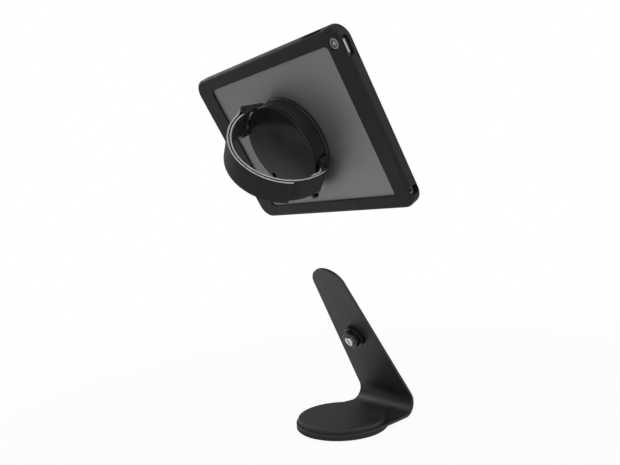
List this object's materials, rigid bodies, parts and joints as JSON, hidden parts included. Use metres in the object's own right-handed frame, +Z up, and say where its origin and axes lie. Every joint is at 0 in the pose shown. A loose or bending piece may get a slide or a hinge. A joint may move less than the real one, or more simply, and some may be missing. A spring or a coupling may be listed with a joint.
{
  "type": "tablet security kiosk stand",
  "caption": "Bent-plate kiosk stand on a round weighted base with a key lock, and a cased tablet whose turning hand grip slides onto its arm.",
  "frame": {"origin": "centre of the base pad's underside, on the surface that it stands on", "axes": "+Z up; the user and the tablet's screen are on the -Y side; +X is to the user's right; YZ is the stand's plane of symmetry"},
  "size_m": [0.266, 0.2006, 0.4189],
  "materials": {
    "base_pad": "moulded rubber pad",
    "stand_plate": "satin black powder coat on steel",
    "base_weight": "satin black powder coat on steel",
    "screws": "blackened steel",
    "lock_housing": "black coated zinc alloy",
    "lock_cylinder": "plated key cylinder",
    "lock_pin": "hardened steel pin",
    "adhesive": "double-sided foam adhesive",
    "grip_plastic": "black glass-filled nylon",
    "glide": "slippery white plastic washer",
    "steel_inner": "zinc-plated steel",
    "bracket": "black moulded bracket",
    "bar": "steel bar",
    "strap": "black woven and hook-and-loop strap",
    "fastener": "black hook-and-loop panel",
    "tablet_metal": "bead-blasted anodised aluminium, grey",
    "glass": "cover glass",
    "display": "display, off",
    "battery": "pouch cells",
    "board": "circuit board",
    "shield": "tinned shields",
    "lens": "camera lens cover",
    "camera_metal": "anodised ring",
    "button_metal": "anodised button",
    "socket_metal": "socket sleeve",
    "speaker": "speaker box",
    "case": "fine-textured rubbery plastic"
  },
  "bodies": {
    "stand": {"base_pad": "base_pad", "stand_plate": "stand_plate", "base_weight": "base_weight", "base_screws": "screws", "lock_housing": "lock_housing", "lock_screws": "screws"},
    "lock_key": {"lock_cylinder": "lock_cylinder"},
    "lock_bolt": {"lock_pin": "lock_pin"},
    "tablet": {"adhesive_disc": "adhesive", "grip_base": "grip_plastic", "glide_washer": "glide", "retainer_plate": "steel_inner", "retainer_screws": "steel_inner", "tablet_shell": "tablet_metal", "front_glass": "glass", "display_panel": "display", "battery_cells": "battery", "logic_board": "board", "board_shields": "shield", "camera_ring": "camera_metal", "camera_lens": "lens", "front_camera": "lens", "audio_jack": "socket_metal", "charge_port": "socket_metal", "speakers": "speaker", "case_bumper": "case", "case_frame": "case"},
    "grip": {"grip_ring": "grip_plastic", "grip_cover": "grip_plastic", "high_bracket": "bracket", "low_bracket": "bracket", "high_bar_pin": "bar", "low_bar_pin": "bar", "bracket_screws": "screws", "strap": "strap", "strap_fastener": "fastener"},
    "power_key": {"power_button": "button_metal"},
    "volume_down_key": {"volume_down": "button_metal"},
    "volume_up_key": {"volume_up": "button_metal"}
  },
  "joints": [
    {"name": "dock_slide", "type": "slide", "parent": "stand", "child": "tablet", "axis": [0, -0.3794, -0.9253], "range_m": [0, 0.1918]},
    {"name": "grip_turn", "type": "hinge", "parent": "tablet", "child": "grip", "pos_m": [0, 0.04413, 0.32928], "axis": [0, 0.8721, -0.4894], "range_deg": [0, 51]},
    {"name": "lock_turn", "type": "hinge", "parent": "stand", "child": "lock_key", "pos_m": [0, -0.02879, 0.10003], "axis": [0, 0.8721, -0.4894], "range_deg": [0, 90]},
    {"name": "lock_pin_slide", "type": "slide", "parent": "stand", "child": "lock_bolt", "axis": [0, -0.8721, 0.4894], "range_m": [0, 0.0055]},
    {"name": "power_press", "type": "slide", "parent": "tablet", "child": "power_key", "axis": [1, 0, 0], "range_m": [0, 0.0005], "stiffness_N_per_m": 1500},
    {"name": "volume_down_press", "type": "slide", "parent": "tablet", "child": "volume_down_key", "axis": [0, -0.4894, -0.8721], "range_m": [0, 0.0005], "stiffness_N_per_m": 1500},
    {"name": "volume_up_press", "type": "slide", "parent": "tablet", "child": "volume_up_key", "axis": [0, -0.4894, -0.8721], "range_m": [0, 0.0005], "stiffness_N_per_m": 1500}
  ],
  "couplings": [
    {"joint": "grip_turn", "follows": "dock_slide", "rad_per_m": 4.6409},
    {"joint": "lock_pin_slide", "follows": "lock_turn", "m_per_rad": 0.0035}
  ]
}
